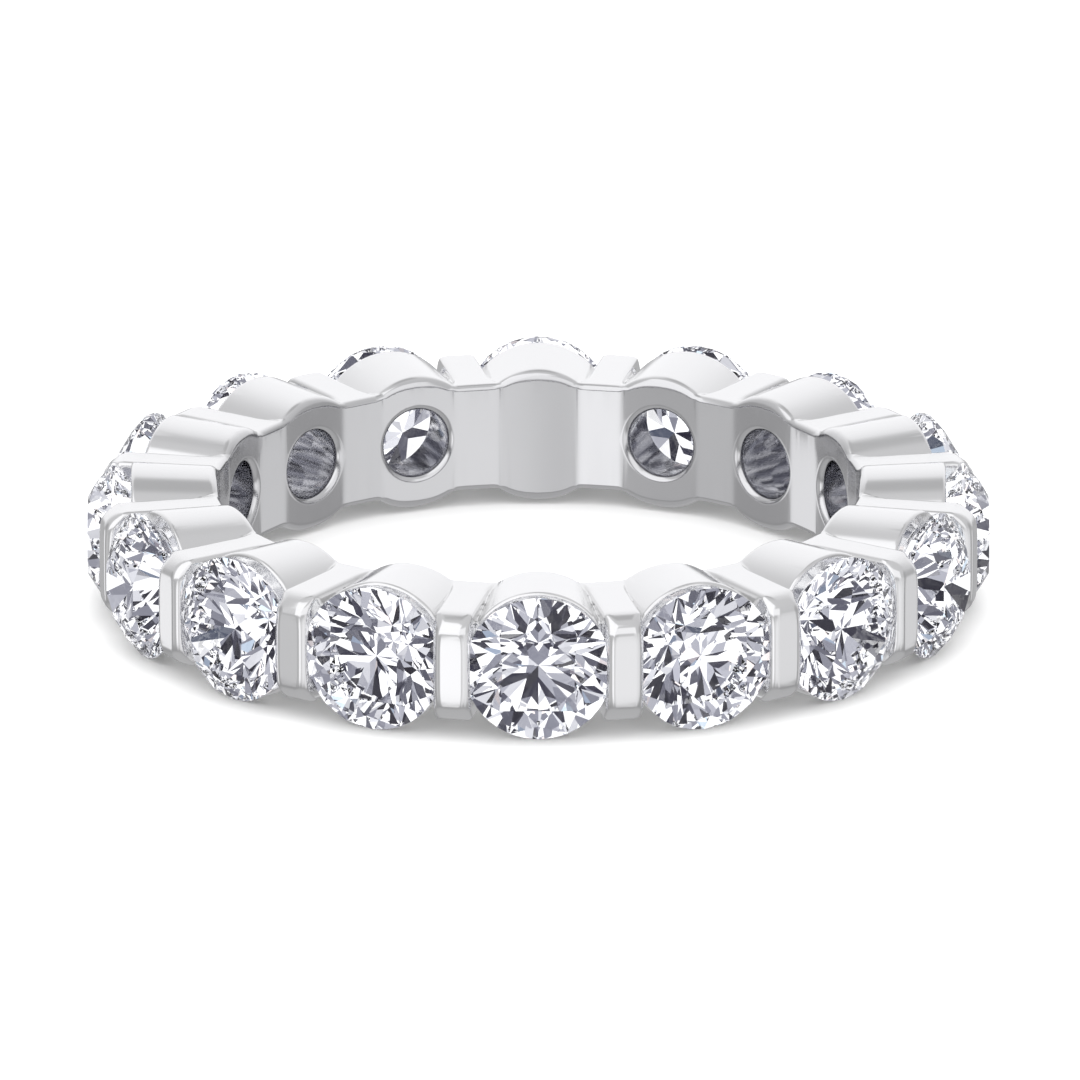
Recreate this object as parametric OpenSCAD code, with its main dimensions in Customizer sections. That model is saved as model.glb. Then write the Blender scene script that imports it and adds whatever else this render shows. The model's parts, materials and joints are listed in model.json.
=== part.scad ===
// Bar set eternity band: round brilliants all the way round, held by their girdles between upright bars.
// The ring lies on its side, so its axis is +Z, and its lowest points touch z = 0.
// The ring is worked out from the finger hole and the number of stones, which give the size of a stone.

/* [Ring] */
// Diameter of the finger hole
finger_d = 17; // [16:0.1:18]
// Number of stones, an even one so that a stone stands opposite the front one
stone_count = 16; // [14:2:18]
// Distance from the wall of the finger hole out to the girdle of a stone
girdle_rise = 2.78; // [2.7:0.02:2.9]

/* [Bars] */
// Width of a bar, along the ring
bar_w = 0.95; // [0.85:0.05:1.05]
// Height of a bar as a share of the diameter of a stone
bar_height_share = 0.767; // [0.7:0.01:0.8]
// Distance that a bar stands out past the girdle
bar_lip = 0.52; // [0.45:0.01:0.58]
// Radius of the outer corners of a bar, seen from its side
bar_corner_r = 0.34; // [0.2:0.02:0.4]
// Bevel along the long edges of a bar
bar_bevel = 0.08; // [0.05:0.01:0.12]
// Depth that a girdle sits in the groove of a bar
girdle_bite = 0.17; // [0.12:0.01:0.2]

/* [Collars] */
// Distance from the girdle in to the rim of the collar under it
rim_drop = 0.47; // [0.4:0.01:0.5]
// Amount that the rim of a collar stands out past its stone
rim_margin = 0.01; // [0:0.01:0.03]
// Bevel round the rim of a collar
rim_bevel = 0.08; // [0.04:0.01:0.12]
// Amount that the radius of a collar shrinks from its rim to the finger hole
collar_taper = 0.11; // [0.05:0.01:0.15]
// Radius of the open hole behind a stone as a share of the radius of the stone
hole_share = 0.477; // [0.4:0.01:0.5]
// Bevel round the mouth of the open hole, at the finger
hole_bevel = 0.12; // [0.06:0.02:0.16]
// Clearance between a stone and the metal at its girdle
seat_gap = 0.03; // [0.02:0.005:0.04]

/* [Stones] */
// Width of the table as a share of the diameter
table_share = 0.53; // [0.5:0.01:0.6]
// Angle of the kite facets of the crown
crown_angle = 34.5; // [32:0.5:36]
// Angle of the main facets of the pavilion
pavilion_angle = 40.75; // [40:0.25:41.5]
// Thickness of the girdle as a share of the diameter
girdle_share = 0.031; // [0.02:0.001:0.04]
// Reach of the star facets, as a share of the way from the table to the girdle
star_share = 0.5; // [0.4:0.05:0.6]
// Reach of the lower girdle facets, as a share of the way from the girdle to the culet
lower_share = 0.78; // [0.7:0.02:0.85]
// Straight steps in the girdle along each of its facets
girdle_steps = 2; // [1:1:3]

/* [Hidden] */
// Straight steps in a full circle, where a round shape is drawn as a mesh
$fn = 144;
platinum_white = [0.86, 0.87, 0.88];
diamond_white = [0.80, 0.88, 0.95];

// Places round the ring, counted from the front, where azimuth is measured from +X
pitch = 360 / stone_count;
front = -90;
blind_place = stone_count / 2 + 1;

// Sizes across the ring
finger_r = finger_d / 2;
girdle_place = finger_r + girdle_rise;
stone_r = (girdle_place * sin(pitch / 2) - bar_w / 2 + girdle_bite) / cos(pitch / 2);
rim_r = stone_r + rim_margin;
rim_place = girdle_place - rim_drop;
middle_z = rim_r;
bar_h = 2 * stone_r * bar_height_share;
bar_place = girdle_place + bar_lip;
hole_r = stone_r * hole_share;
// Depth that the metal runs on inside the finger hole before the hole is cut
root = 0.6;
// Share of the pitch that a collar fills, so that it ends inside the bars and clear of the next collar
wedge_share = 0.94;

// Heights and radii of a stone, whose girdle lies round z = 0 and whose table faces +Z
sides = 8;
side_turn = 360 / sides;
facet_turn = side_turn / 2;
girdle_h = 2 * stone_r * girdle_share;
table_r = stone_r * table_share;
table_z = girdle_h / 2 + (stone_r - table_r) * tan(crown_angle);
star_r = table_r * cos(facet_turn) + (stone_r - table_r * cos(facet_turn)) * star_share;
star_z = table_z - (star_r * cos(facet_turn) - table_r) * tan(crown_angle);
culet_z = -girdle_h / 2 - stone_r * tan(pavilion_angle);
lower_r = stone_r * (1 - lower_share);
lower_z = culet_z + lower_r * cos(facet_turn) * tan(pavilion_angle);
// Rise of the girdle facets for each millimetre in from the girdle, in the crown and in the pavilion
crown_slope = (star_z - girdle_h / 2) / ((stone_r - star_r) * cos(facet_turn / 2));
pavilion_slope = (-girdle_h / 2 - lower_z) / ((stone_r - lower_r) * cos(facet_turn / 2));

function stone_name(place) = str("stone_", place < 10 ? "0" : "", place);

function around(radius, turn, z) = [radius * cos(turn), radius * sin(turn), z];

// Distance that a girdle facet stands in from the round outline, in the middle of the facet 0 at its ends
function facet_bow(step) =
    stone_r * (cos((step % girdle_steps) * facet_turn / girdle_steps - facet_turn / 2) - cos(facet_turn / 2));

// Puts a shape made round +Z on a radius of the ring, pointing outwards at the middle height
module on_radius(turn) {
    translate([0, 0, middle_z]) rotate([0, 0, turn]) rotate([0, 90, 0]) children();
}

// Round brilliant with flat facets: table, stars, kites, upper girdle, girdle, lower girdle and mains
module brilliant() {
    ring_count = 2 * sides * girdle_steps;
    step_turn = 360 / ring_count;
    table = [for (k = [0 : sides - 1]) around(table_r, k * side_turn, table_z)];
    star = [for (k = [0 : sides - 1]) around(star_r, k * side_turn + facet_turn, star_z)];
    lower = [for (k = [0 : sides - 1]) around(lower_r, k * side_turn + facet_turn, lower_z)];
    upper_edge = [for (j = [0 : ring_count - 1])
        around(stone_r, j * step_turn, girdle_h / 2 - crown_slope * facet_bow(j))];
    lower_edge = [for (j = [0 : ring_count - 1])
        around(stone_r, j * step_turn, -girdle_h / 2 + pavilion_slope * facet_bow(j))];

    // First point of each ring of points in the list
    first_star = sides;
    first_lower = 2 * sides;
    first_upper_edge = 3 * sides;
    first_lower_edge = first_upper_edge + ring_count;
    culet = first_lower_edge + ring_count;

    table_face = [[for (k = [sides - 1 : -1 : 0]) k]];
    star_faces = [for (k = [0 : sides - 1]) [(k + 1) % sides, first_star + k, k]];
    kite_faces = [for (k = [0 : sides - 1])
        [first_star + k, first_upper_edge + 2 * k * girdle_steps, first_star + (k + sides - 1) % sides, k]];
    upper_faces = [for (f = [0 : 2 * sides - 1])
        concat([for (j = [girdle_steps : -1 : 0]) first_upper_edge + (f * girdle_steps + j) % ring_count],
            [first_star + floor(f / 2)])];
    girdle_faces = [for (j = [0 : ring_count - 1]) let (next = (j + 1) % ring_count)
        [first_upper_edge + j, first_upper_edge + next, first_lower_edge + next, first_lower_edge + j]];
    lower_faces = [for (f = [0 : 2 * sides - 1])
        concat([for (j = [0 : girdle_steps]) first_lower_edge + (f * girdle_steps + j) % ring_count],
            [first_lower + floor(f / 2)])];
    main_faces = [for (k = [0 : sides - 1])
        [culet, first_lower + (k + sides - 1) % sides, first_lower_edge + 2 * k * girdle_steps, first_lower + k]];

    polyhedron(
        points = concat(table, star, lower, upper_edge, lower_edge, [[0, 0, culet_z]]),
        faces = concat(table_face, star_faces, kite_faces, upper_faces, girdle_faces, lower_faces, main_faces)
    );
}

// Round space that a stone needs: its outline turned round its axis, grown by the clearance
module seat() {
    scale(1 + seat_gap / stone_r)
        rotate_extrude()
            polygon([
                [0, culet_z],
                [lower_r, lower_z],
                [stone_r, -girdle_h / 2],
                [stone_r, girdle_h / 2],
                [star_r, star_z],
                [table_r, table_z],
                [0, table_z]
            ]);
}

// Tapered collar round +Z, from inside the finger hole out to its bevelled rim
module collar() {
    root_r = rim_r - collar_taper * (1 + root / (rim_place - finger_r));
    rotate_extrude()
        polygon([
            [0, finger_r - root],
            [root_r, finger_r - root],
            [rim_r, rim_place - rim_bevel],
            [rim_r - rim_bevel, rim_place],
            [0, rim_place]
        ]);
}

// Wedge round the ring's axis that ends a collar inside the bars on either side of it
module wedge() {
    reach = 2 * bar_place;
    half_turn = wedge_share * pitch / 2;
    translate([0, 0, -root])
        linear_extrude(height = 2 * (middle_z + root))
            polygon([
                [0, 0],
                [reach * cos(half_turn), -reach * sin(half_turn)],
                [reach * cos(half_turn), reach * sin(half_turn)]
            ]);
}

// Hole behind a stone, open to the finger, with its mouth bevelled
module open_hole() {
    mouth_r = hole_r + hole_bevel;
    cylinder(r = hole_r, h = girdle_place);
    translate([0, 0, finger_r - root]) cylinder(r = mouth_r, h = root);
    translate([0, 0, finger_r]) cylinder(r1 = mouth_r, r2 = hole_r, h = hole_bevel);
}

// Collar of one place, with its seat and, except opposite the front stone, its open hole
module setting(place) {
    turn = front + (place - 1) * pitch;
    difference() {
        intersection() {
            on_radius(turn) collar();
            rotate([0, 0, turn]) wedge();
        }
        on_radius(turn) translate([0, 0, girdle_place]) seat();
        if (place != blind_place)
            on_radius(turn) open_hole();
    }
}

// Bar seen from its side, with x away from the ring's axis and y upwards
module bar_side() {
    start = finger_r - root;
    half_h = bar_h / 2;
    translate([start, -half_h]) square([bar_place - bar_corner_r - start, bar_h]);
    translate([start, bar_corner_r - half_h]) square([bar_place - start, bar_h - 2 * bar_corner_r]);
    for (side = [-1, 1])
        translate([bar_place - bar_corner_r, side * (half_h - bar_corner_r)]) circle(r = bar_corner_r);
}

// Rectangle round the origin with its corners bevelled
module bevelled_rect(width, height) {
    x = width / 2;
    y = height / 2;
    polygon([
        [-x, bar_bevel - y], [bar_bevel - x, -y], [x - bar_bevel, -y], [x, bar_bevel - y],
        [x, y - bar_bevel], [x - bar_bevel, y], [bar_bevel - x, y], [-x, y - bar_bevel]
    ]);
}

// Upright bar after one place, between its stone and the next, with a groove for each girdle
module bar(place) {
    difference() {
        translate([0, 0, middle_z])
            rotate([0, 0, front + (place - 0.5) * pitch])
                intersection() {
                    rotate([90, 0, 0]) linear_extrude(height = bar_w, center = true) bar_side();
                    linear_extrude(height = 2 * bar_h, center = true)
                        translate([bar_place / 2, 0]) bevelled_rect(bar_place, bar_w);
                    rotate([90, 0, 90]) linear_extrude(height = 2 * bar_place) bevelled_rect(bar_w, bar_h);
                }
        for (side = [-1, 0])
            on_radius(front + (place + side) * pitch) translate([0, 0, girdle_place]) seat();
    }
}

// Cast metal of the ring: its collars and bars joined, and the finger hole cut
module band() {
    color(platinum_white)
        difference() {
            union() {
                for (place = [1 : stone_count]) {
                    setting(place);
                    bar(place);
                }
            }
            translate([0, 0, -root]) cylinder(r = finger_r, h = 2 * (middle_z + root));
        }
}

// One stone in its place, turned so that an edge of its table lies level
module stone(place) {
    color(diamond_white)
        on_radius(front + (place - 1) * pitch)
            translate([0, 0, girdle_place]) rotate([0, 0, facet_turn]) brilliant();
}

band();
for (place = [1 : stone_count])
    stone(place);
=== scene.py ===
"""Bar set band: a polished white-metal eternity ring with round brilliants, lying on a pale floor."""
import json
import math

import bpy
import numpy as np
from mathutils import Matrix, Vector


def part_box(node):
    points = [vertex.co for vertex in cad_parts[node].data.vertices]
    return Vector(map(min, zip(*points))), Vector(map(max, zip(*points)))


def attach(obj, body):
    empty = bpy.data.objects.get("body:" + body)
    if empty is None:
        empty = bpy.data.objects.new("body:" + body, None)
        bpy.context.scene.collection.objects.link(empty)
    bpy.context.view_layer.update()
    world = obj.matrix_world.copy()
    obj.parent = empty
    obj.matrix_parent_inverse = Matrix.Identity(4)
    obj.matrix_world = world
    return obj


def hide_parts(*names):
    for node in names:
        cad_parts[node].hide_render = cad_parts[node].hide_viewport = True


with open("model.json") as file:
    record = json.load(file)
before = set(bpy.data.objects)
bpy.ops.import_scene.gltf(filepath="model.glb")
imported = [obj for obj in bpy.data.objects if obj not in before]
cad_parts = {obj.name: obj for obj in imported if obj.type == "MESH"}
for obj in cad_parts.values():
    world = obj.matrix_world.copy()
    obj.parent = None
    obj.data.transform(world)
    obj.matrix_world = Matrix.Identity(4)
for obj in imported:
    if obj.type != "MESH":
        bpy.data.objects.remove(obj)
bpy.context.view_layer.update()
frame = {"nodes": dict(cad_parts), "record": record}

MM = 0.001

# Sizes that the frame gives
finger_mount = next(m for m in frame["record"]["mounts"] if m["name"] == "finger_hole")
FINGER_R = finger_mount["dims"]["r_mm"] * MM
MIDDLE_Z = finger_mount["pos_m"][2]
STONE_NAMES = sorted(n for n in frame["nodes"] if n.startswith("stone_"))
STONE_COUNT = len(STONE_NAMES)
stone_low, stone_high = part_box(STONE_NAMES[0])
STONE_R = (stone_high.x - stone_low.x) / 2

# Places round the ring, as the part's source has them
FRONT = -math.pi / 2
BLIND_PLACE = STONE_COUNT // 2
PITCH = 2 * math.pi / STONE_COUNT
HALF_PITCH = PITCH / 2

# Stones, with heights along their own axes from the middle of the girdle
GIRDLE_PLACE = FINGER_R + 2.78 * MM
GIRDLE_H = 2 * STONE_R * 0.031
CROWN_SLOPE = math.tan(math.radians(34.5))
PAVILION_SLOPE = math.tan(math.radians(40.75))
FACET_COS = math.cos(math.radians(22.5))
TABLE_R = STONE_R * 0.53
TABLE_Z = GIRDLE_H / 2 + (STONE_R - TABLE_R) * CROWN_SLOPE
STAR_R = (TABLE_R * FACET_COS + STONE_R) / 2
STAR_Z = TABLE_Z - (STAR_R * FACET_COS - TABLE_R) * CROWN_SLOPE
CULET_Z = -GIRDLE_H / 2 - STONE_R * PAVILION_SLOPE
LOWER_R = STONE_R * 0.22
LOWER_Z = CULET_Z + LOWER_R * FACET_COS * PAVILION_SLOPE
SEAT_GAP = 0.02 * MM

# Collars, which taper from their rims to the finger hole, and the holes in them, which widen behind a lip
RIM_R = MIDDLE_Z
RIM_PLACE = GIRDLE_PLACE - 0.47 * MM
TAPER = 0.11 * MM / (RIM_PLACE - FINGER_R)
HOLE_R = 0.477 * STONE_R
HOLE_FLARE = 0.15
HOLE_LIP = 0.20 * MM

# Bars, whose faces are crowned towards the ends.
# Inside the collars they spread, as far as the finger hole's wall and a little past it.
BAR_W = 1.00 * MM
BAR_H = 2 * STONE_R * 0.767
BAR_PLACE = GIRDLE_PLACE + 0.52 * MM
BAR_CROWN = 0.16 * MM
CROWN_POWER = 5
WEB_DEPTH = 0.9 * MM
WEB_SPREAD = 0.28 * MM
WEB_END = 1.2

# The finger hole's wall, which is flatter than a cylinder behind each stone and each bar
WALL_CURVE = 0.45
BAR_WALL_INSET = 0.028 * MM
WALL_JOIN = 0.015 * MM

# Radii that the polishing leaves on the metal's edges
RIM_ROUND = 0.10 * MM
BAR_END_ROUND = 0.50 * MM
BAR_EDGE_ROUND = 0.24 * MM
BAR_CORNER_EXTRA = 0.22 * MM
CORNER_POWER = 4
BAR_TOP_ROUND = 0.14 * MM
JOIN_ROUND = 0.06 * MM
FINGER_ROUND = 0.28 * MM
FINGER_ROUND_AT_BARS = 0.17 * MM
HOLE_ROUND = 0.19 * MM
SEAT_ROUND = 0.035 * MM

# How much painted shade darkens the finger's side, against the full painted shade inside the small holes
WALL_SHADE_SHARE = 0.26

FULL_MESH = (0.06 * MM, 0.27)
# How many steps the grid goes past the metal
GRID_MARGIN = 3
# How far apart the distances that give a slope are taken, and the least squared slope that a point moves by
SLOPE_STEP = 0.002 * MM
LEAST_STEEPNESS = 0.001
CELL_CORNERS = np.array([(i, j, k) for i in (0, 1) for j in (0, 1) for k in (0, 1)])


def both(a, b, round_r):
    """Distance outside the overlap of two solids, whose shared edge is rounded. It is negative inside."""
    corner = np.hypot(np.maximum(a + round_r, 0), np.maximum(b + round_r, 0))
    return np.minimum(np.maximum(a, b), -round_r) + corner


def either(a, b, round_r):
    """Distance outside two joined solids, with a fillet in the corner between them."""
    return -both(-a, -b, round_r)


def without(a, b, round_r):
    """Distance outside the first solid once the second is cut from it."""
    return both(a, -b, round_r)


def cone(radius, height, low_end, high_end):
    """Distance outside the cone whose wall runs between two points, each a radius and a height."""
    run, rise = high_end[0] - low_end[0], high_end[1] - low_end[1]
    length = math.hypot(run, rise)
    return ((radius - low_end[0]) * rise - (height - low_end[1]) * run) / length


def seat_distance(radius, height):
    """Distance outside the space that a stone and its clearance take up."""
    girdle = radius - STONE_R
    upper = cone(radius, height, (STONE_R, GIRDLE_H / 2), (STAR_R, STAR_Z))
    lower = cone(radius, height, (LOWER_R, LOWER_Z), (STONE_R, -GIRDLE_H / 2))
    tip = cone(radius, height, (0, CULET_Z), (LOWER_R, LOWER_Z))
    return np.maximum(np.maximum(girdle, upper), np.maximum(lower, tip)) - SEAT_GAP


def at_station(place, azimuth):
    """The nearest stone's number round the ring, and the distances out along its axis and aside from it."""
    turn = (azimuth - FRONT) / PITCH
    station = np.round(turn)
    swing = np.abs(turn - station) * PITCH
    return station, place * np.cos(swing), place * np.sin(swing)


def hole_distance(radius, out):
    """Distance outside the small hole behind a stone, which widens behind its lip."""
    return radius - HOLE_R - np.maximum(out - FINGER_R - HOLE_LIP, 0) * HOLE_FLARE


def bar_distance(bar_out, bar_aside, up):
    """Distance outside an upright bar: crowned, with soft ends, and wider where the collars hide it."""
    face = bar_out - BAR_PLACE + BAR_CROWN * (2 * up / BAR_H) ** CROWN_POWER
    length = both(face, up - BAR_H / 2, BAR_END_ROUND)
    hidden = np.clip((FINGER_R + WEB_DEPTH - bar_out) / WEB_DEPTH, 0, WEB_END)
    side = bar_aside - BAR_W / 2 - WEB_SPREAD * hidden ** 2
    inward = np.clip((BAR_PLACE - bar_out) / BAR_END_ROUND, 0, 1)
    edge_round = BAR_EDGE_ROUND + BAR_CORNER_EXTRA * np.minimum(2 * up / BAR_H, 1) ** CORNER_POWER
    return both(length, side, edge_round + (BAR_TOP_ROUND - edge_round) * inward ** 2)


def wall_distance(place, out, bar_out):
    """Distance outside the finger hole's wall, which is a little flatter behind each stone and each bar."""
    behind_stone = FINGER_R - out - (place - out) * WALL_CURVE
    behind_bar = FINGER_R + BAR_WALL_INSET - bar_out - (place - bar_out) * WALL_CURVE
    blend = np.maximum(WALL_JOIN - np.abs(behind_stone - behind_bar), 0) ** 2 / (4 * WALL_JOIN)
    return np.minimum(behind_stone, behind_bar) - blend


def metal_distance(place, azimuth, z):
    """Distance outside the metal, at a distance from the axis, an azimuth and a height over the middle."""
    station, out, aside = at_station(place, azimuth)
    up = np.abs(z)
    radius = np.hypot(aside, up)

    collar_wall = (radius - RIM_R + (RIM_PLACE - out) * TAPER) / math.hypot(1, TAPER)
    collar = both(collar_wall, out - RIM_PLACE, RIM_ROUND)
    bar_out = out * math.cos(HALF_PITCH) + aside * math.sin(HALF_PITCH)
    bar_aside = np.abs(out * math.sin(HALF_PITCH) - aside * math.cos(HALF_PITCH))
    bar = bar_distance(bar_out, bar_aside, up)

    from_bar = np.clip(bar_aside / BAR_W - 0.5, 0, 1)
    finger_round = FINGER_ROUND_AT_BARS + (FINGER_ROUND - FINGER_ROUND_AT_BARS) * from_bar
    metal = both(either(collar, bar, JOIN_ROUND), wall_distance(place, out, bar_out), finger_round)
    closed = np.mod(station, STONE_COUNT) == BLIND_PLACE
    metal = without(metal, np.where(closed, FINGER_R, hole_distance(radius, out)), HOLE_ROUND)
    return without(metal, seat_distance(radius, out - GIRDLE_PLACE), SEAT_ROUND)


def fade(value, full, none):
    """Gives 1 at the first limit and beyond it, 0 at the second, and a share between them."""
    return np.clip((value - none) / (full - none), 0, 1)


def painted_shade(points):
    """How much painted shade darkens the metal's colour.

    It is 1 inside the small holes, a painted shade in the recess, and less on the finger's side, where a
    lighter painted shade darkens the wall.
    """
    place = np.hypot(points[:, 0], points[:, 1])
    station, out, aside = at_station(place, np.arctan2(points[:, 1], points[:, 0]))
    radius = np.hypot(aside, points[:, 2])
    hollow = np.minimum(hole_distance(radius, out), seat_distance(radius, out - GIRDLE_PLACE))
    in_hollow = fade(hollow, 0.02 * MM, 0.06 * MM)
    behind_lip = fade(out - FINGER_R, 0.16 * MM, 0.06 * MM)
    under_rim = fade(RIM_PLACE - out, 0.15 * MM, 0.05 * MM)
    # A lighter painted shade on the finger's side
    wall_shade = WALL_SHADE_SHARE * fade(place - FINGER_R, 0.06 * MM, 0.18 * MM)
    return np.maximum(in_hollow * behind_lip * under_rim, wall_shade)


def metal_distance_at(points):
    """Distance outside the ring's metal at points given by x, y and z from the ring's middle."""
    place = np.hypot(points[:, 0], points[:, 1])
    return metal_distance(place, np.arctan2(points[:, 1], points[:, 0]), points[:, 2])


def metal_slope(points):
    """Gradient of the distance, which points out of the metal."""
    slope = np.empty_like(points)
    for axis in range(3):
        step = np.zeros(3)
        step[axis] = SLOPE_STEP
        change = metal_distance_at(points + step) - metal_distance_at(points - step)
        slope[:, axis] = change / (2 * SLOPE_STEP)
    return slope


def onto_metal(points, rounds):
    """Moves points that lie near the metal's surface onto it."""
    for _ in range(rounds):
        slope = metal_slope(points)
        steepness = np.maximum((slope * slope).sum(axis=1), LEAST_STEEPNESS)
        points = points - slope * (metal_distance_at(points) / steepness)[:, None]
    return points


def metal_grid(step):
    """A grid once round the ring: azimuths, places and levels, and the distance outside the metal at each."""
    margin = GRID_MARGIN * step
    per_station = 2 * round(PITCH * GIRDLE_PLACE / step / 2)
    turns = per_station * STONE_COUNT
    azimuths = FRONT + (np.arange(turns) + 0.5) * (2 * math.pi / turns)
    places = np.arange(FINGER_R - margin, BAR_PLACE + margin, step)
    half_levels = math.ceil((RIM_R + margin) / step)
    levels = (np.arange(2 * half_levels) - half_levels + 0.5) * step
    field = metal_distance(places[None, :, None], azimuths[:, None, None], levels[None, None, :])
    return azimuths, places, levels, np.concatenate([field, field[:1]])


def crossed_cells(field):
    """Numbers the cells that the surface crosses.

    Each also gets a spot, counted in cells: the mean of where its edges cross the surface.
    """
    solid = field < 0
    size = np.array(field.shape) - 1
    corners_in = sum(
        solid[i:i + size[0], j:j + size[1], k:k + size[2]].astype(np.int8) for i, j, k in CELL_CORNERS
    )
    crossed = (corners_in > 0) & (corners_in < len(CELL_CORNERS))
    cells = np.argwhere(crossed)
    number = np.full(crossed.shape, -1)
    number[crossed] = np.arange(len(cells))
    values = np.stack([field[tuple((cells + corner).T)] for corner in CELL_CORNERS], axis=1)
    total = np.zeros((len(cells), 3))
    count = np.zeros((len(cells), 1))
    for a, start in enumerate(CELL_CORNERS):
        for b, end in enumerate(CELL_CORNERS):
            if (end - start).sum() != 1 or (end - start).min() < 0:
                continue
            cross = (values[:, a] < 0) != (values[:, b] < 0)
            share = np.where(cross, values[:, a] / np.where(cross, values[:, a] - values[:, b], 1), 0)
            total += cross[:, None] * (start + share[:, None] * (end - start))
            count += cross[:, None]
    return number, cells + total / count


def crossing_faces(field, number):
    """Four-cornered faces, one round each grid edge that the surface crosses, turned outwards.

    Each joins the spots of the four cells that share the edge. Round the ring the last cell meets the first.
    """
    solid = field < 0
    size = np.array(field.shape) - 1
    faces = []
    for axis in range(3):
        others = [a for a in range(3) if a != axis]
        near = [slice(0, size[0]), slice(1, size[1]), slice(1, size[2])]
        near[axis] = slice(0, size[axis])
        far = list(near)
        far[axis] = slice(1, size[axis] + 1)
        node = np.argwhere(solid[tuple(near)] != solid[tuple(far)])
        node += [s.start for s in near]
        around = []
        for back in ((1, 1), (0, 1), (0, 0), (1, 0)):
            cell = node.copy()
            cell[:, others[0]] -= back[0]
            cell[:, others[1]] -= back[1]
            cell[:, 0] %= size[0]
            around.append(number[tuple(cell.T)])
        face = np.stack(around, axis=1)
        outwards = solid[tuple(node.T)] if axis == 1 else ~solid[tuple(node.T)]
        face[~outwards] = face[~outwards][:, ::-1]
        faces.append(face)
    return np.concatenate(faces)


def metal_surface(step):
    """Points and four-cornered faces of the metal's surface, found on a grid that runs round the ring."""
    azimuths, places, levels, field = metal_grid(step)
    number, spot = crossed_cells(field)
    azimuth = azimuths[0] + spot[:, 0] * (2 * math.pi / len(azimuths))
    place = places[0] + spot[:, 1] * step
    level = levels[0] + spot[:, 2] * step
    points = np.stack([place * np.cos(azimuth), place * np.sin(azimuth), level], axis=1)
    return points, crossing_faces(field, number)


def mesh_of_quads(name, points, faces):
    mesh = bpy.data.meshes.new(name)
    mesh.vertices.add(len(points))
    mesh.vertices.foreach_set("co", points.ravel())
    mesh.loops.add(faces.size)
    mesh.loops.foreach_set("vertex_index", faces.ravel())
    mesh.polygons.add(len(faces))
    mesh.polygons.foreach_set("loop_start", np.arange(0, faces.size, 4))
    mesh.update(calc_edges=True)
    return mesh


def reduce_faces(piece, share):
    """Joins the faces of flat stretches, and leaves the rounded edges fine."""
    modifier = piece.modifiers.new("reduce", "DECIMATE")
    modifier.ratio = share
    evaluated = piece.evaluated_get(bpy.context.evaluated_depsgraph_get())
    reduced = bpy.data.meshes.new_from_object(evaluated)
    piece.modifiers.clear()
    piece.data = reduced


def add_object(name, data):
    thing = bpy.data.objects.new(name, data)
    bpy.context.scene.collection.objects.link(thing)
    return thing


def make_metal():
    """The ring's cast and polished metal, with rounded edges and normals taken from its true surface."""
    step, share = FULL_MESH
    points, faces = metal_surface(step)
    lift = np.array([0, 0, MIDDLE_Z])
    points = onto_metal(points, rounds=3) + lift
    piece = add_object("polished_band", mesh_of_quads("polished_band", points, faces))
    if share < 1:
        reduce_faces(piece, share)
    mesh = piece.data
    points = np.empty(3 * len(mesh.vertices), np.float32)
    mesh.vertices.foreach_get("co", points)
    points = onto_metal(points.reshape(-1, 3).astype(float) - lift, rounds=2)
    mesh.vertices.foreach_set("co", (points + lift).ravel())
    normals = metal_slope(points)
    normals /= np.linalg.norm(normals, axis=1)[:, None]
    mesh.polygons.foreach_set("use_smooth", np.ones(len(mesh.polygons), bool))
    mesh.normals_split_custom_set_from_vertices(normals)
    # The metal's colour gets painted shade: dark inside the small holes, lighter on the finger's side
    shade_attribute = mesh.attributes.new("painted_shade", "FLOAT", "POINT")
    shade_attribute.data.foreach_set("value", painted_shade(points))
    mesh.update()
    # Light that leaves a stone passes the metal by, so that the stones stay bright in their deep seats
    piece.visible_transmission = False
    return piece


def feed(tree, socket, value):
    """Gives a socket another node's output or a value of its own. A colour may leave out its opacity."""
    if isinstance(value, bpy.types.NodeSocket):
        tree.links.new(value, socket)
    elif socket.type == "RGBA":
        socket.default_value = (*value[:3], 1.0)
    else:
        socket.default_value = value


def feed_inputs(tree, node, inputs):
    for key, value in inputs.items():
        feed(tree, node.inputs[key], value)


def add_node(tree, kind, inputs=(), **settings):
    """Adds a shader node, sets its properties, and feeds its inputs."""
    node = tree.nodes.new(kind)
    for name, value in settings.items():
        setattr(node, name, value)
    feed_inputs(tree, node, dict(inputs))
    return node


def mix_colours(tree, factor, first, second):
    """Adds a node that goes from the first colour to the second, and gives its output."""
    mix = add_node(tree, "ShaderNodeMix", data_type="RGBA")
    sockets = [s for s in mix.inputs if s.enabled]
    for socket, value in zip(sockets, (factor, first, second)):
        feed(tree, socket, value)
    return next(s for s in mix.outputs if s.enabled)


def calculate(tree, operation, *values):
    """Adds a node that works out a number from others, and gives its output."""
    return add_node(tree, "ShaderNodeMath", dict(enumerate(values)), operation=operation).outputs["Value"]


def map_range(tree, value, start, end, low=0.0, high=1.0, curve="LINEAR"):
    """Adds a node that goes from low to high as the value goes from start to end, and gives its output."""
    limits = {"Value": value, "From Min": start, "From Max": end, "To Min": low, "To Max": high}
    return add_node(tree, "ShaderNodeMapRange", limits, interpolation_type=curve).outputs["Result"]


def axes_of(tree, vector):
    """Adds a node that splits a vector, and gives its outputs X, Y and Z."""
    return add_node(tree, "ShaderNodeSeparateXYZ", {"Vector": vector}).outputs


def ramp(tree, value, stops, interpolation="LINEAR"):
    """Adds a colour ramp with the given stops, each a place and a colour, and gives its output."""
    node = add_node(tree, "ShaderNodeValToRGB", {"Fac": value})
    node.color_ramp.interpolation = interpolation
    elements = node.color_ramp.elements
    while len(elements) < len(stops):
        elements.new(1.0)
    for element, (place, colour) in zip(elements, stops):
        element.position = place
        element.color = (*colour, 1.0)
    return node.outputs["Color"]


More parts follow.
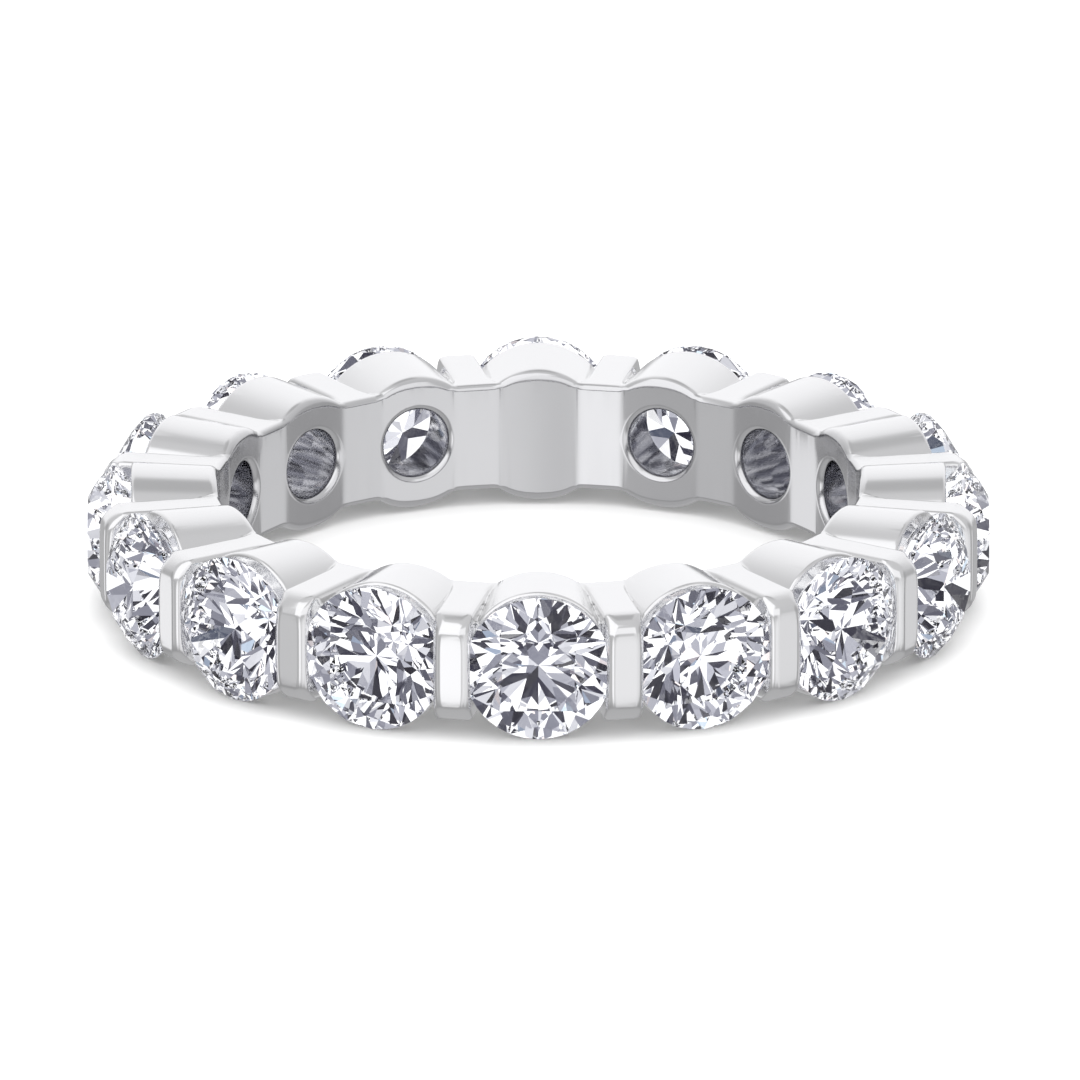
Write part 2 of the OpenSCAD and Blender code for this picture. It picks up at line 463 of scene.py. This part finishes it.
def grey(level, blue=1.0):
    return (level, level, level * blue)


def new_material(name):
    material = bpy.data.materials.new(name)
    material.use_nodes = True
    tree = material.node_tree
    return material, tree, tree.nodes["Principled BSDF"]


# The lines that the brush leaves are thirty times as long as they are high
LINE_FLATNESS = (1, 1, 30)


def metal_material():
    """Polished white gold: soft patches left by the buff, faint lines round the ring, and painted shade in
    the small holes and on the finger's side.
    """
    material, tree, shader = new_material("polished_white_gold")
    coordinates = add_node(tree, "ShaderNodeTexCoord").outputs["Object"]
    buffing = add_node(tree, "ShaderNodeTexNoise", {"Vector": coordinates, "Scale": 420.0, "Detail": 2.0})
    tint = mix_colours(tree, buffing.outputs["Fac"], grey(0.79), grey(0.81))
    shade_attribute = add_node(tree, "ShaderNodeAttribute", attribute_name="painted_shade").outputs["Fac"]
    # Painted shade: darkens the colour inside the small holes and, less, on the finger's side
    tint = mix_colours(tree, shade_attribute, tint, (0.34, 0.34, 0.36))

    flattened = add_node(tree, "ShaderNodeVectorMath", {
        0: coordinates, 1: LINE_FLATNESS}, operation="MULTIPLY")
    lines = add_node(tree, "ShaderNodeTexNoise", {
        "Vector": flattened.outputs["Vector"], "Scale": 500.0, "Detail": 1.0})
    bump = add_node(tree, "ShaderNodeBump", {
        "Height": lines.outputs["Fac"], "Strength": 0.02, "Distance": 0.01 * MM})
    feed_inputs(tree, shader, {
        "Base Color": tint,
        "Roughness": map_range(tree, buffing.outputs["Fac"], 0.3, 0.7, 0.13, 0.18),
        "Normal": bump.outputs["Normal"],
        "Metallic": 1.0,
    })
    return material


def diamond_material():
    """Colourless diamond, with a trace of cloudy growth in its tint."""
    material, tree, shader = new_material("colourless_diamond")
    coordinates = add_node(tree, "ShaderNodeTexCoord").outputs["Object"]
    growth = add_node(tree, "ShaderNodeTexNoise", {"Vector": coordinates, "Scale": 700.0, "Detail": 0.0})
    feed_inputs(tree, shader, {
        "Base Color": mix_colours(tree, growth.outputs["Fac"], (0.975, 0.98, 0.995), (0.995, 0.997, 1.0)),
        "Roughness": 0.0,
        "IOR": 2.417,
        "Transmission Weight": 1.0,
        "Specular Tint": grey(0.15),
    })
    return material


def floor_material():
    material, tree, shader = new_material("pale_floor")
    feed_inputs(tree, shader, {"Base Color": grey(0.92), "Roughness": 1.0, "Specular IOR Level": 0.0})
    return material


def set_material(piece, material):
    for slot in piece.material_slots:
        slot.material = material
    if not piece.material_slots:
        piece.data.materials.append(material)


# Camera, as the photograph's: a long lens, a little above the ring
VIEW_ELEVATION = math.radians(18.1)
VIEW_DISTANCE = 690 * MM
# The photograph's side, the finger hole's radius in it, and the place of the ring's middle, all in pixels
PHOTO_SIZE = 1080
FINGER_R_PIXELS = 320
RING_PIXEL = (538.4, 534.7)
PIXEL = FINGER_R / FINGER_R_PIXELS


def make_camera():
    data = bpy.data.cameras.new("photo_camera")
    camera = add_object("photo_camera", data)
    right = Vector((1, 0, 0))
    back = Vector((0, -math.cos(VIEW_ELEVATION), math.sin(VIEW_ELEVATION)))
    up = back.cross(right)
    centre = PHOTO_SIZE / 2
    target = Vector((0, 0, MIDDLE_Z))
    target += right * (centre - RING_PIXEL[0]) * PIXEL - up * (centre - RING_PIXEL[1]) * PIXEL
    camera.location = target + back * VIEW_DISTANCE
    camera.rotation_euler = back.to_track_quat("Z", "Y").to_euler()
    data.lens = data.sensor_width * VIEW_DISTANCE / (PHOTO_SIZE * PIXEL)
    bpy.context.scene.camera = camera


FLOOR_HALF = 600 * MM


def make_floor():
    """A pale floor, which the metal and the stones don't show."""
    half = FLOOR_HALF
    corners = [(-half, -half, 0), (half, -half, 0), (half, half, 0), (-half, half, 0)]
    mesh = bpy.data.meshes.new("floor")
    mesh.from_pydata(corners, [], [(0, 1, 2, 3)])
    mesh.materials.append(floor_material())
    floor = add_object("floor", mesh)
    floor.visible_glossy = False
    floor.visible_transmission = False


# Heights of the sky go from 0 straight below to 1 straight above, with the horizon at 0.5.
# The metal mirrors a grey gradient, each stop a height and a level.
METAL_GRADIENT = (
    (0.00, 0.54),
    (0.14, 0.52),
    (0.22, 0.38),
    (0.38, 0.44),
    (0.46, 0.56),
    (0.60, 0.66),
    (0.92, 0.70),
    (1.00, 0.72),
)
# Then a wide glow at the back: azimuth, elevation, half width, soft edge and level
METAL_GLOW = (90, 12, 8, 60, 1.12)
# The heights between which the glow fades in
GLOW_HEIGHTS = (0.465, 0.51)
# Then round panels: azimuth, elevation, half width, soft edge and level
METAL_PANELS = (
    (175, 10, 6, 16, 0.44),
    (5, 10, 6, 18, 0.46),
    (80, 74, 6, 14, 0.52),
    (-52, 5, 6, 14, 0.86),
    (-24, -3, 6, 10, 0.80),
    (-84, -18, 8, 10, 0.90),
    (-99, -18, 4, 8, 0.72),
    (-45, -18, 7, 12, 0.95),
    (-67.5, -17, 6, 11, 1.02),
    (-112.5, -17, 5, 12, 1.26),
    (-135, -18, 7, 8, 0.56),
    (-157.5, -17, 7, 6, 0.68),
    (-22.5, -17, 7, 6, 0.88),
    (157.5, -17, 7, 8, 1.06),
    (22.5, -17, 7, 8, 0.80),
    (115, -14, 8, 10, 0.50),
    (65, -14, 8, 10, 0.50),
)
# Then softboxes: azimuth, elevation, half width, half height, soft edge and level
METAL_SOFTBOXES = (
    (-72, 30, 28, 17, 4, 1.10),
    (-128, 40, 25, 33, 3, 1.25),
)
# How much more blue than red all these greys hold
SKY_BLUE = 1.02

# The stones return cells of sky, from dark blue ones to white: the share of the cells below each colour
STONE_CELLS = (
    (0.00, (0.022, 0.021, 0.034)),
    (0.20, (0.045, 0.044, 0.068)),
    (0.28, (0.120, 0.121, 0.160)),
    (0.37, (0.280, 0.284, 0.345)),
    (0.48, (0.500, 0.506, 0.575)),
    (0.59, (0.780, 0.785, 0.840)),
    (0.69, (1.350, 1.350, 1.370)),
)
# The same for the few cells that are tinted
STONE_TINTS = (
    (0.00, (0.70, 0.82, 0.93)),
    (0.04, (0.96, 0.87, 0.84)),
    (0.07, (1.00, 1.00, 1.00)),
)
# Cells below and to the right are whiter, those behind darker: axis, its two ends, and the shift at each
STONE_SHIFTS = (
    ("Z", -0.16, 0.10, 0.25, 0.00),
    ("X", 0.20, 0.80, 0.00, 0.16),
    ("Y", 0.40, 0.80, 0.00, -0.12),
)
CELL_SCALE = 7.0

# What lights the floor: a ramp from the horizon up, and a low light in front
FLOOR_SIDE = grey(0.25)
FLOOR_OVERHEAD = grey(2.6)
LOW_LIGHT = grey(12.0)
# The heights, and the places along Y, between which the low light fades in
LOW_LIGHT_HEIGHTS = (0.66, 0.60)
LOW_LIGHT_DEPTHS = (0.0, -0.7)
# What lights it by way of the metal or the stones
BOUNCED_LIGHT = grey(0.65)
BACKDROP = grey(1.0)


def patch(tree, direction, azimuth, elevation, half_width, edge):
    """Gives 1 within a round patch of sky and 0 outside it, with a soft edge. Angles are in degrees."""
    a, e = math.radians(azimuth), math.radians(elevation)
    axis = (math.cos(e) * math.cos(a), math.cos(e) * math.sin(a), math.sin(e))
    facing = add_node(tree, "ShaderNodeVectorMath", {0: direction, 1: axis}, operation="DOT_PRODUCT")
    outer, inner = math.cos(math.radians(half_width + edge)), math.cos(math.radians(half_width))
    return map_range(tree, facing.outputs["Value"], outer, inner, curve="SMOOTHSTEP")


def softbox(tree, direction, azimuth, elevation, half_width, half_height, edge):
    """Gives 1 within a rectangle of sky and 0 outside it. Angles are in degrees."""
    turned = direction
    for axis, angle in (((0, 0, 1), -azimuth), ((0, 1, 0), elevation)):
        turned = add_node(tree, "ShaderNodeVectorRotate", {
            "Vector": turned, "Axis": axis, "Angle": math.radians(angle)}).outputs["Vector"]
    parts = axes_of(tree, turned)
    mask = calculate(tree, "GREATER_THAN", parts["X"], 0.0)
    for part, half in ((parts["Y"], half_width), (parts["Z"], half_height)):
        outer, inner = math.sin(math.radians(half + edge)), math.sin(math.radians(half))
        away = calculate(tree, "ABSOLUTE", part)
        mask = calculate(tree, "MULTIPLY", mask, map_range(tree, away, outer, inner, curve="SMOOTHSTEP"))
    return mask


def metal_surroundings(tree, direction, height):
    """What the polished metal mirrors: the gradient, and over it the glow, the panels and the softboxes."""
    colour = ramp(tree, height, [(place, grey(level, SKY_BLUE)) for place, level in METAL_GRADIENT])
    *glow_shape, level = METAL_GLOW
    glow = patch(tree, direction, *glow_shape)
    glow = calculate(tree, "MULTIPLY", glow, map_range(tree, height, *GLOW_HEIGHTS))
    colour = mix_colours(tree, glow, colour, grey(level, SKY_BLUE))
    for kind, table in ((patch, METAL_PANELS), (softbox, METAL_SOFTBOXES)):
        for *shape, level in table:
            colour = mix_colours(tree, kind(tree, direction, *shape), colour, grey(level, SKY_BLUE))
    return colour


def stone_surroundings(tree, direction):
    """Cells of sky from white to dark blue, which the facets cut into shards."""
    cells = add_node(tree, "ShaderNodeTexVoronoi", {"Vector": direction, "Scale": CELL_SCALE})
    pick = add_node(tree, "ShaderNodeSeparateColor", {"Color": cells.outputs["Color"]}).outputs
    place = pick["Red"]
    parts = axes_of(tree, direction)
    for axis, start, end, first, last in STONE_SHIFTS:
        place = calculate(tree, "ADD", place, map_range(tree, parts[axis], start, end, first, last))
    colour = ramp(tree, place, STONE_CELLS, "CONSTANT")
    tint = ramp(tree, pick["Green"], STONE_TINTS, "CONSTANT")
    tinted = add_node(tree, "ShaderNodeVectorMath", {0: colour, 1: tint}, operation="MULTIPLY")
    shade = add_node(tree, "ShaderNodeTexNoise", {"Vector": direction, "Scale": 3.0}).outputs["Fac"]
    shade = map_range(tree, shade, 0.3, 0.7, 0.78, 1.15)
    shaded = add_node(tree, "ShaderNodeVectorMath", {
        0: tinted.outputs["Vector"], "Scale": shade}, operation="SCALE")
    return shaded.outputs["Vector"]


def floor_surroundings(tree, direction, height):
    """An overhead light, which leaves a close soft shadow, and a low one in front."""
    colour = ramp(tree, height, [(0.5, FLOOR_SIDE), (1.0, FLOOR_OVERHEAD)])
    low = map_range(tree, height, *LOW_LIGHT_HEIGHTS)
    ahead = map_range(tree, axes_of(tree, direction)["Y"], *LOW_LIGHT_DEPTHS)
    return mix_colours(tree, calculate(tree, "MULTIPLY", low, ahead), colour, LOW_LIGHT)


def sky_light(tree, colour):
    """Adds a light that takes its colour from a node or is the same all over, and gives its output."""
    return add_node(tree, "ShaderNodeBackground", {"Color": colour}).outputs["Background"]


def mix_lights(tree, factor, first, second):
    """Adds a shader that gives the first light where the factor is 0 and the second where it is 1."""
    return add_node(tree, "ShaderNodeMixShader", {0: factor, 1: first, 2: second}).outputs["Shader"]


def make_world():
    """The studio: one sky for the metal, one for the stones, one for the floor, and a white backdrop."""
    world = bpy.data.worlds.new("studio")
    bpy.context.scene.world = world
    world.use_nodes = True
    tree = world.node_tree
    tree.nodes.clear()
    direction = add_node(tree, "ShaderNodeTexCoord").outputs["Generated"]
    height = map_range(tree, axes_of(tree, direction)["Z"], -1.0, 1.0)
    path = add_node(tree, "ShaderNodeLightPath").outputs
    on_floor = calculate(tree, "GREATER_THAN", path["Diffuse Depth"], 0.5)
    bounced = calculate(tree, "GREATER_THAN", path["Glossy Depth"], 0.5)

    metal_light = sky_light(tree, metal_surroundings(tree, direction, height))
    stone_light = sky_light(tree, stone_surroundings(tree, direction))
    floor_light = sky_light(tree, floor_surroundings(tree, direction, height))
    mirrored = mix_lights(tree, path["Is Transmission Ray"], metal_light, stone_light)
    scattered = mix_lights(tree, bounced, floor_light, sky_light(tree, BOUNCED_LIGHT))
    light = mix_lights(tree, on_floor, mirrored, scattered)
    light = mix_lights(tree, path["Is Camera Ray"], light, sky_light(tree, BACKDROP))
    add_node(tree, "ShaderNodeOutputWorld", {"Surface": light})


# Light turns many times inside a diamond before it leaves
BOUNCES = 32


def set_light_paths():
    cycles = bpy.context.scene.cycles
    cycles.max_bounces = BOUNCES
    cycles.glossy_bounces = BOUNCES
    cycles.transmission_bounces = BOUNCES


make_camera()
metal = make_metal()
set_material(metal, metal_material())
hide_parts("band")
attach(metal, "root")
diamond = diamond_material()
for name in STONE_NAMES:
    set_material(frame["nodes"][name], diamond)
make_floor()
make_world()
bpy.context.scene.view_settings.view_transform = "Standard"
set_light_paths()
